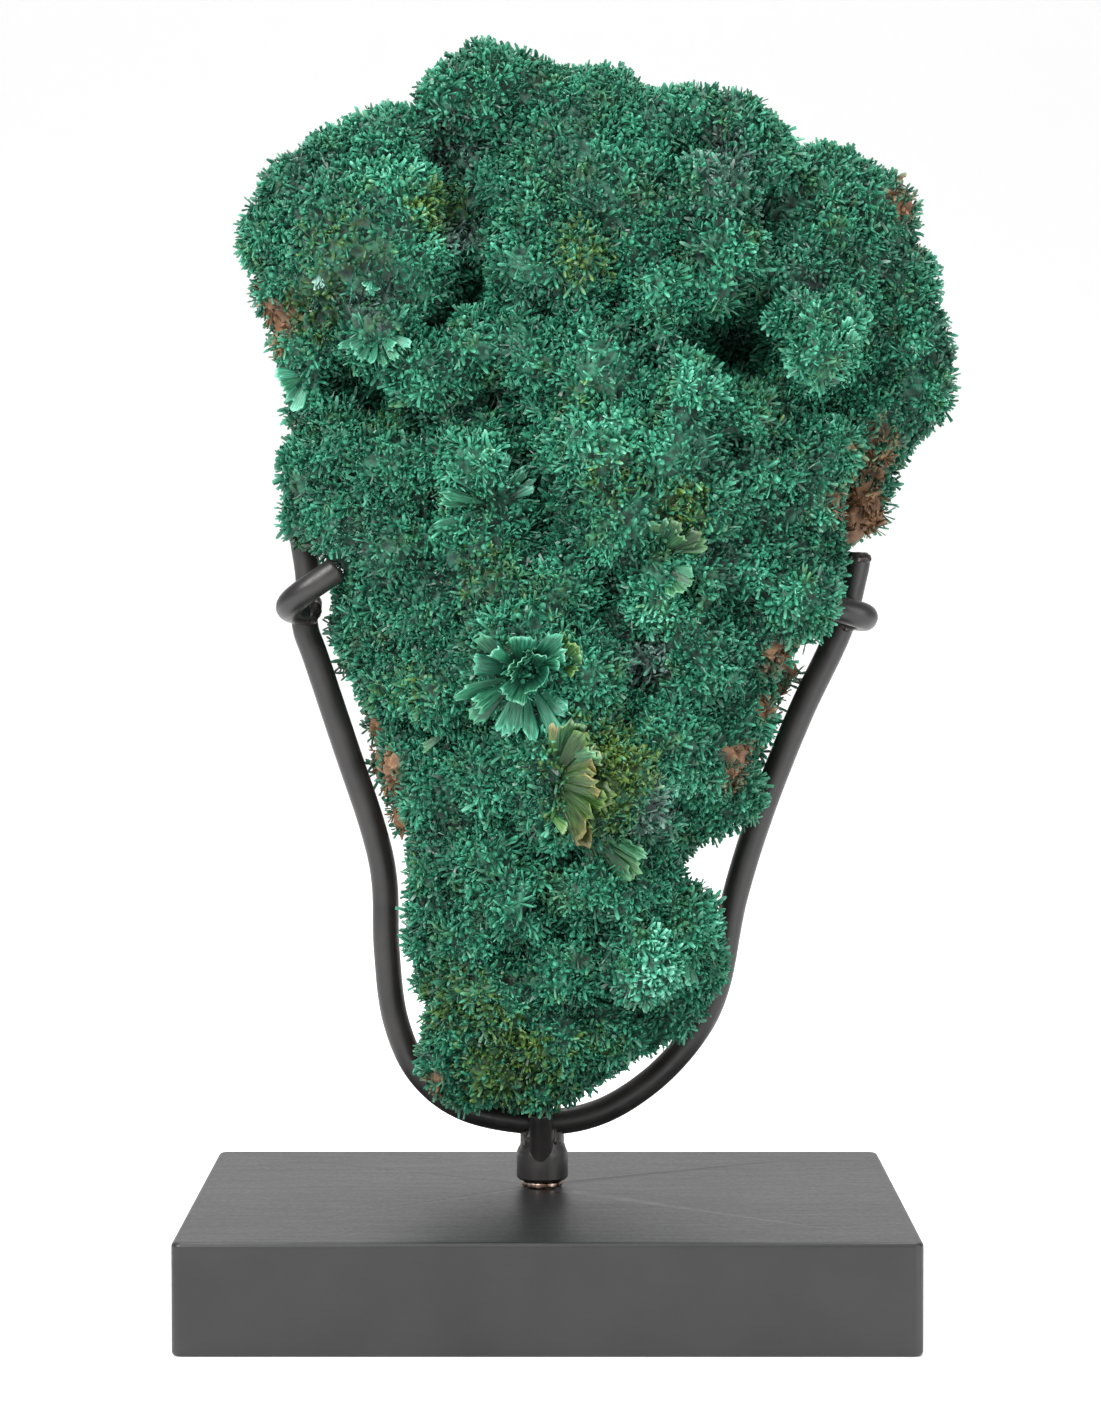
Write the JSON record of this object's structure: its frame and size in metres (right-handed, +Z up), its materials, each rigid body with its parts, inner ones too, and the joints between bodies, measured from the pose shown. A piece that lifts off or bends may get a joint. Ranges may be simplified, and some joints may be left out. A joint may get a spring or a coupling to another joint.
{
  "type": "mineral specimen on stand",
  "caption": "Upright fibrous malachite specimen, held by bent claws in a U-shaped cradle of welded round rod on a rectangular black block.",
  "frame": {"origin": "centre of the block's underside", "axes": "+Z up, -Y towards the front of the specimen as pictured, +X to its right"},
  "size_m": [0.1728, 0.12, 0.2865],
  "materials": {
    "green_stone": "silky, tufted crystals with brown matrix in places",
    "black_paint": "black satin lacquer",
    "black_steel": "satin black over welded rod",
    "bare_steel": "bare at the foot ring"
  },
  "bodies": {
    "root": {"malachite": "green_stone", "base_block": "black_paint", "base_post": "bare_steel", "collar": "black_steel", "cradle_rod": "black_steel", "left_claw": "black_steel", "right_claw": "black_steel", "front_prong": "black_steel"}
  },
  "joints": []
}
